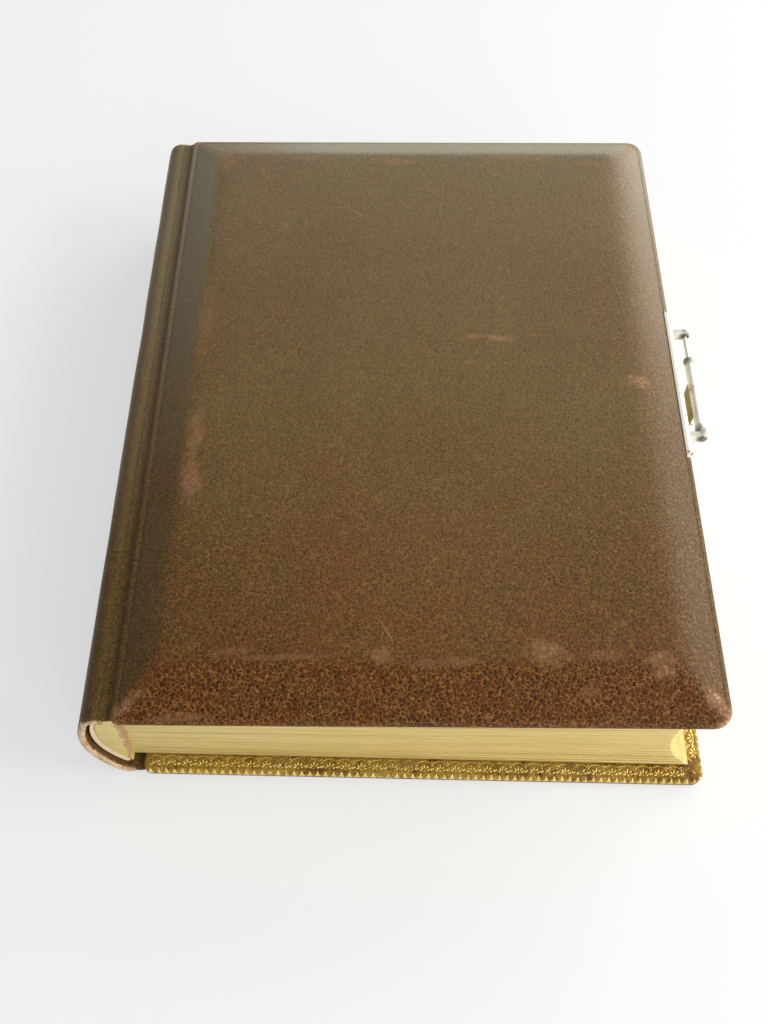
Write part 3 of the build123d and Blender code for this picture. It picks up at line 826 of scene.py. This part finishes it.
backTooling = {
    "side": 2.5, "round": 1.5, "face": 5.5, "up": 1,
    "corner": 4.5, "row": 5.0, "pitch": 6.2, "teeth": True,
}
frontTooling = {
    "side": 0.6, "round": 2.3, "face": -5.2, "up": -1,
    "corner": 7.0, "row": 5.4, "pitch": 6.2, "teeth": False,
}
toolingLook = {"gold": (0.740, 0.520, 0.120), "pale": (0.84, 0.66, 0.25), "worn": (0.170, 0.098, 0.022)}


def toolingFinish(look):
    finish, shader, where = newFinish("giltTooling")
    rubbed = where.noise(330.0, 4.0, 0.65)
    patch = where.noise(45.0, 2.0)
    worn = (rubbed + (patch - 0.5) * 0.8).step(0.56, 0.70)
    colour = worn.mix(patch.step(0.35, 0.65).mix(look["gold"], look["pale"]), look["worn"])
    dress(shader, Base_Color=colour, Roughness=0.36 + 0.25 * worn, Metallic=(1 - worn) * 0.55,
          Normal=rubbed.bump(0.3, 0.00015))
    return finish


# kite from a foot outwards, as four points
def petal(angle, inner, outer, wide, foot=(0.0, 0.0)):
    a = math.radians(angle)
    axis, side = np.array([math.sin(a), math.cos(a)]), np.array([math.cos(a), -math.sin(a)])
    belly = inner + 0.62 * (outer - inner)
    kite = [axis * inner, axis * belly + side * wide, axis * outer, axis * belly - side * wide]
    return np.array(kite) + np.array(foot)


# band along an arc about a foot, cut in short pieces
def arch(foot, radius, wide, spread, steps):
    a = np.radians(np.linspace(-spread, spread, steps + 1))
    ends = [np.stack([foot[0] + r * np.sin(a), foot[1] + r * np.cos(a)], -1) for r in (radius, radius + wide)]
    return [np.array([ends[0][k], ends[0][k + 1], ends[1][k + 1], ends[1][k]]) for k in range(steps)]


# triangle that narrows from its base to its tip, cut in steps so that it can bend over the edge
def tooth(middle, low, high, wide, steps):
    t = np.linspace(low, high, steps + 1)
    w = wide * (1 - (t - low) / (high - low)) + 0.05
    left, right = np.stack([middle - w, t], -1), np.stack([middle + w, t], -1)
    return [np.array([left[k], right[k], right[k + 1], left[k + 1]]) for k in range(steps)]


# fans under arches, with a bud and a dot between them
def fanMotif(row, pitch):
    foot = (0.0, row + 0.5)
    spokes = ((-78, 2.5), (-40, 3.1), (0, 3.5), (40, 3.1), (78, 2.5))
    fan = [petal(angle, 0.45, reach, 0.46, foot) for angle, reach in spokes]
    buds = [petal(angle, -0.2, 1.9, 0.48, (pitch / 2, row + 0.5)) for angle in (-28, 28)]
    dot = [petal(0, -0.5, 0.5, 0.45, (pitch / 2, row + 4.0)), petal(0, -0.45, 0.3, 0.5, foot)]
    return np.array(fan + buds + dot + arch(foot, 3.75, 0.32, 62, 8))


# outline of the board from the spine end of its tail side round to the spine end of its head side: the place
# after a run of s millimetres and the direction outwards there
def outlineAt(board, corner, s):
    left, end, half = board["start"] + 1.2, board["end"], board["half"]
    flat, tall, bend = end - corner - left, 2 * (half - corner), corner * math.pi / 2
    stops = np.cumsum([0, flat, bend, tall, bend, flat])
    turn = ramp(s, stops[1], stops[2]) + ramp(s, stops[3], stops[4]) - 1
    angle = turn * math.pi / 2
    outward = np.stack([np.cos(angle), np.sin(angle)], -1)
    x = left + np.clip(s, 0, flat) - np.clip(s - stops[4], 0, flat)
    y = corner - half + np.clip(s - stops[2], 0, tall)
    return np.stack([x, y], -1) + corner * outward, outward, stops


def tooling(name, shape, board, place, finish, body):
    pitch = shape["pitch"]
    stops = outlineAt(board, shape["corner"], np.zeros(1))[2]
    motif = fanMotif(shape["row"], pitch)
    room = 4.2  # left free beside the corners
    runs = [(stops[0], stops[1] - room, pitch, motif), (stops[2] + room, stops[3] - room, pitch, motif),
            (stops[4] + room, stops[5], pitch, motif)]
    if shape["teeth"]:
        runs.append((0.0, stops[-1], pitch / 2, np.array(tooth(0.0, 0.75, 4.5, 1.38, 5))))
    flat = []
    for begin, finishAt, step, quads in runs:
        repeats = int((finishAt - begin) // step)
        span = (finishAt - begin) / repeats
        middle = begin + (np.arange(repeats) + 0.5) * span
        spread = np.broadcast_to(quads, (repeats, *quads.shape)).copy()
        spread[..., 0] += middle[:, None, None]
        flat.append(spread.reshape(-1, 4, 2))
    for stop in (stops[1] + stops[2], stops[3] + stops[4]):
        flat.append(np.array([petal(angle, 0.3, reach, 0.4, (stop / 2, shape["row"] + 0.2))
                              for angle, reach in ((-20, 3.2), (0, 3.8), (20, 3.2))]))
    s, t = np.moveaxis(np.concatenate(flat), -1, 0)
    lift = 0.045  # the gold stands this far clear of the leather
    bend = np.clip((t - shape["side"]) / shape["round"], 0, math.pi / 2)
    beyond = np.maximum(t - shape["side"] - shape["round"] * math.pi / 2, 0)
    inset = shape["round"] * (1 - np.cos(bend)) + beyond - lift * np.cos(bend)
    drop = shape["round"] * (1 - np.sin(bend)) + np.maximum(shape["side"] - t, 0) - lift * np.sin(bend)
    point, outward, stops = outlineAt(board, shape["corner"], s)
    plan = point - inset[..., None] * outward
    quadPoints = np.concatenate([plan, (shape["face"] - shape["up"] * drop)[..., None]], -1)
    faces = np.arange(len(quadPoints) * 4).reshape(-1, 4)
    spots = place(quadPoints * mm)
    # faces that look into the board are turned round
    normal = np.cross(spots[:, 1] - spots[:, 0], spots[:, 3] - spots[:, 0])
    middle = bend.mean(1)[:, None]
    tilt = np.concatenate([outward.mean(1) * np.cos(middle), shape["up"] * np.sin(middle)], 1)
    wrong = (normal * tilt).sum(1) < 0
    faces[wrong] = faces[wrong][:, ::-1]
    piece = newPiece(name, spots, faces, finish, closed=False)
    solid = piece.modifiers.new("foil", "SOLIDIFY")
    solid.thickness = 0.00009
    solid.offset = -1.0
    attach(piece, body)


def onBackCover(points):
    return points + np.array([backX, 0, 0])


gilt = toolingFinish(toolingLook)
tooling("backTooling", backTooling, backShape, onBackCover, gilt, "back_board")
tooling("frontTooling", frontTooling, coverShape, onFrontCover, gilt, "front_board")


# lining papers, liner and metal keep their own solids

paperLook = {
    "lining": {"sheet": (0.70, 0.63, 0.50), "stain": (0.52, 0.40, 0.25), "fibre": 900.0},
    "liner": {"sheet": (0.86, 0.70, 0.47), "stain": (0.62, 0.43, 0.24), "fibre": 700.0},
}


def paperFinish(name, look):
    finish, shader, where = newFinish(name)
    fibre = where.noise(look["fibre"], 4.0, 0.7)
    cloud = where.noise(18.0, 5.0, 0.62)
    colour = (cloud.step(0.45, 0.78) * 0.5).mix(look["sheet"], look["stain"])
    colour = ((fibre - 0.35) * 0.30).mix(colour, look["stain"])
    dress(shader, Base_Color=colour, Roughness=0.72 + 0.15 * (fibre - 0.5),
          Normal=fibre.bump(0.25, 0.0002))
    return finish


nickelLook = {
    "bright": (0.86, 0.83, 0.74), "dull": (0.62, 0.56, 0.43), "dirt": (0.060, 0.045, 0.022), "metal": 0.60,
}
# the hasp's nickel is drawn paler and less metallic than the plate's: painted light standing in for the light
# on the barrel
haspLook = {**nickelLook, "bright": (0.93, 0.91, 0.83), "metal": 0.25}


# knobs: places drawn dark, fading out about 3 mm round them; strapTop: below it the side facing the spine is
# drawn dark, painted shade of the gap beside the gilt leaves
def nickelFinish(name, look, knobs, strapTop=None):
    finish, shader, where = newFinish(name)
    cloud = where.noise(160.0, 4.0, 0.6)
    pit = where.noise(900.0, 3.0, 0.65)
    fine = where.stretch((300.0, 2600.0, 2600.0)).noise(1.0, 2.0)
    tarnish = cloud.step(0.48, 0.72)
    # dirt in the pits, the dark knobs, and painted shade on the strap
    dirt = (pit + (cloud - 0.5) * 0.9).step(0.64, 0.80)
    for knob in knobs:
        gap = where.node("VectorMath", {"operation": "DISTANCE"}, {0: where, 1: knob}, "Value")
        dirt = dirt | ((gap * 1000 + (pit - 0.5) * 3.0).step(3.4, 1.6) * 0.85)
    # painted shade: the strap's side facing the leaves drawn dark below strapTop
    if strapTop is not None:
        below = where.part("Z").step(strapTop, strapTop - 0.001)
        facing = where.node("TexCoord", {}, {}, "Normal").part("X")
        dirt = dirt | (below * facing.step(-0.3, -0.9) * 0.7)
    colour = dirt.mix(tarnish.mix(look["bright"], look["dull"]), look["dirt"])
    rough = 0.36 + 0.14 * tarnish + 0.20 * dirt + 0.10 * (fine - 0.5)
    dress(shader, Base_Color=colour, Roughness=rough, Metallic=(1 - 0.8 * dirt) * look["metal"],
          Normal=(fine * 0.5 + pit * 0.5).bump(0.16, 0.0001))
    return finish


def recoat(node, finish):
    mesh = nodes[node].data
    mesh.materials.clear()
    mesh.materials.append(finish)


pinX, pinY, pinZ = joints["hasp_hinge"]
lugEnds = [(pinX, y * mm, pinZ) for y in (-25.5, 29.5)]
ballEnds = [(pinX, pinY + y * mm, pinZ) for y in (-18.0, 18.0)]
nickel = nickelFinish("wornNickel", nickelLook, lugEnds)
for node in ("clasp_plate", "clasp_rivets", "clasp_pin", "catch_plate", "catch_rivets"):
    recoat(node, nickel)
recoat("hasp", nickelFinish("haspNickel", haspLook, ballEnds, pinZ - 2.2 * mm))
liningPaper = paperFinish("liningPaper", paperLook["lining"])
for node in ("front_pastedown", "back_pastedown"):
    recoat(node, liningPaper)
recoat("spine_liner", paperFinish("linerPaper", paperLook["liner"]))
print("papers and metal coated")


# stage: pale floor, white surroundings, a soft key from the right, a wide sheet of light behind, a near fill

stageLook = {
    "floor": (0.84, 0.87, 0.88), "floorHalf": 4.0, "floorGlow": 0.58,
    "floorLevel": -0.0002,  # just under the part, which stands at zero
    "sky": (1.0, 1.0, 0.985), "skyLight": 0.30, "farWall": 1.0,
    "lamps": (
        {"name": "window", "at": (1.3, -0.15, 0.80), "aim": (0.0, 0.0, 0.03),
         "size": 0.9, "power": 16.0, "colour": (1.0, 0.985, 0.95)},
        {"name": "farSheet", "at": (1.2, 1.2, 0.55), "aim": (0.0, 0.0, 0.05),
         "size": 1.5, "power": 20.0, "colour": (1.0, 0.99, 0.96)},
        {"name": "nearFill", "at": (0.6, -1.35, 0.55), "aim": (0.0, -0.1, 0.03),
         "size": 1.2, "power": 11.0, "colour": (1.0, 0.98, 0.95)},
    ),
}


def stage(look):
    half, level = look["floorHalf"], look["floorLevel"]
    mesh = bpy.data.meshes.new("floor")
    corners = [(-half, -half, level), (half, -half, level), (half, half, level), (-half, half, level)]
    mesh.from_pydata(corners, [], [(0, 1, 2, 3)])
    finish, shader, where = newFinish("paleFloor")
    weave = where.noise(700.0, 2.0)
    dress(shader, Base_Color=(*look["floor"], 1.0), Roughness=0.9, Normal=weave.bump(0.06, 0.0003))
    # to the camera and in reflections the floor is nearer white than its light makes it, most so far away
    seen = where.node("LightPath", {}, {}, "Is Camera Ray") | where.node("LightPath", {}, {}, "Is Glossy Ray")
    far = where.node("VectorMath", {"operation": "LENGTH"}, {0: where}, "Value").step(0.7, 2.0)
    glow = look["floorGlow"] + far * (1.0 - look["floorGlow"])
    white = where.node("Emission", {}, {"Color": (1.0, 1.0, 1.0, 1.0), "Strength": 1.0})
    lit = Wire(finish.node_tree, shader.outputs[0])
    shown = where.node("MixShader", {}, {0: seen * glow, 1: lit, 2: white})
    finish.node_tree.links.new(shown.socket, finish.node_tree.nodes["Material Output"].inputs["Surface"])
    mesh.materials.append(finish)
    floor = bpy.data.objects.new("floor", mesh)
    scene.collection.objects.link(floor)
    for lamp in look["lamps"]:
        light = bpy.data.lights.new(lamp["name"], "AREA")
        light.shape = "DISK"
        light.size = lamp["size"]
        light.energy = lamp["power"]
        light.color = lamp["colour"]
        lampObject = bpy.data.objects.new(lamp["name"], light)
        back = Vector(lamp["at"]) - Vector(lamp["aim"])
        lampObject.location = lamp["at"]
        lampObject.rotation_mode = "QUATERNION"
        lampObject.rotation_quaternion = back.to_track_quat("Z", "Y")
        scene.collection.objects.link(lampObject)
    world = bpy.data.worlds.new("paleRoom")
    scene.world = world
    world.use_nodes = True
    ground = world.node_tree.nodes["Background"]
    start = Wire(world.node_tree, None)
    seen = start.node("LightPath", {}, {}, "Is Camera Ray")
    toward = start.node("TexCoord", {}, {}, "Generated")
    # a pale wall stands behind the object, on the far side towards the right
    x, y, z = (toward.part(axis) for axis in "XYZ")
    wall = x.step(-0.6, 0.1) * y.step(0.1, 0.8) * z.step(0.90, 0.20)
    glow = look["skyLight"] + wall * look["farWall"]
    world.node_tree.links.new((glow + seen * (1.0 - glow)).socket, ground.inputs["Strength"])
    ground.inputs["Color"].default_value = (*look["sky"], 1.0)
    scene.view_settings.view_transform = "Standard"


stage(stageLook)


# camera of the photograph: place from the front hinge line, heading, dip and tilt in degrees

shot = {
    "place": (0.08564, -0.29804, 0.37862), "heading": 3.043, "dip": 57.995, "tilt": 4.215, "lens": 39.55,
}


def camera(look):
    data = bpy.data.cameras.new("camera")
    data.lens = look["lens"]
    data.sensor_width = 36.0
    data.clip_start, data.clip_end = 0.01, 50.0
    eye = bpy.data.objects.new("camera", data)
    place = Matrix.Translation((hingeX + look["place"][0], look["place"][1], hingeZ + look["place"][2]))
    heading = Matrix.Rotation(-math.radians(look["heading"]), 4, "Z")
    dip = Matrix.Rotation(math.radians(90 - look["dip"]), 4, "X")
    tilt = Matrix.Rotation(math.radians(look["tilt"]), 4, "Z")
    eye.matrix_world = place @ (heading @ dip) @ tilt
    scene.collection.objects.link(eye)
    scene.camera = eye


camera(shot)
print("stage and camera set")
